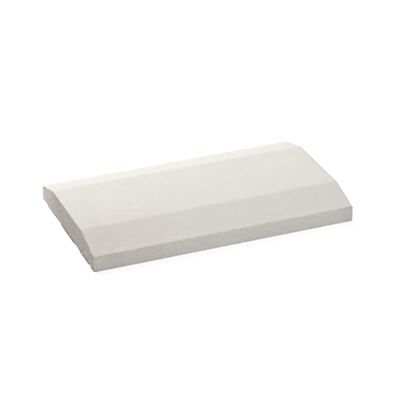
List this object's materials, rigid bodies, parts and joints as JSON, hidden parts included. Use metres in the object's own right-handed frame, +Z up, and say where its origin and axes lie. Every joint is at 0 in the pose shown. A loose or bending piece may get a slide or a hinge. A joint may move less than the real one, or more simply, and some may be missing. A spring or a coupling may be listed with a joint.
{
  "type": "wall coping",
  "caption": "Cast concrete wall coping: flat crown, slopes down to an upright fascia along each long side, square ends, flat bed with a drip groove by each edge.",
  "frame": {"origin": "middle of the bed, the flat underside that lies on the wall", "axes": "+X along the wall, +Y across it, +Z up, away from the wall"},
  "size_m": [0.5, 0.3, 0.05],
  "materials": {
    "concrete": "matte"
  },
  "bodies": {
    "root": {"coping": "concrete"}
  },
  "joints": []
}
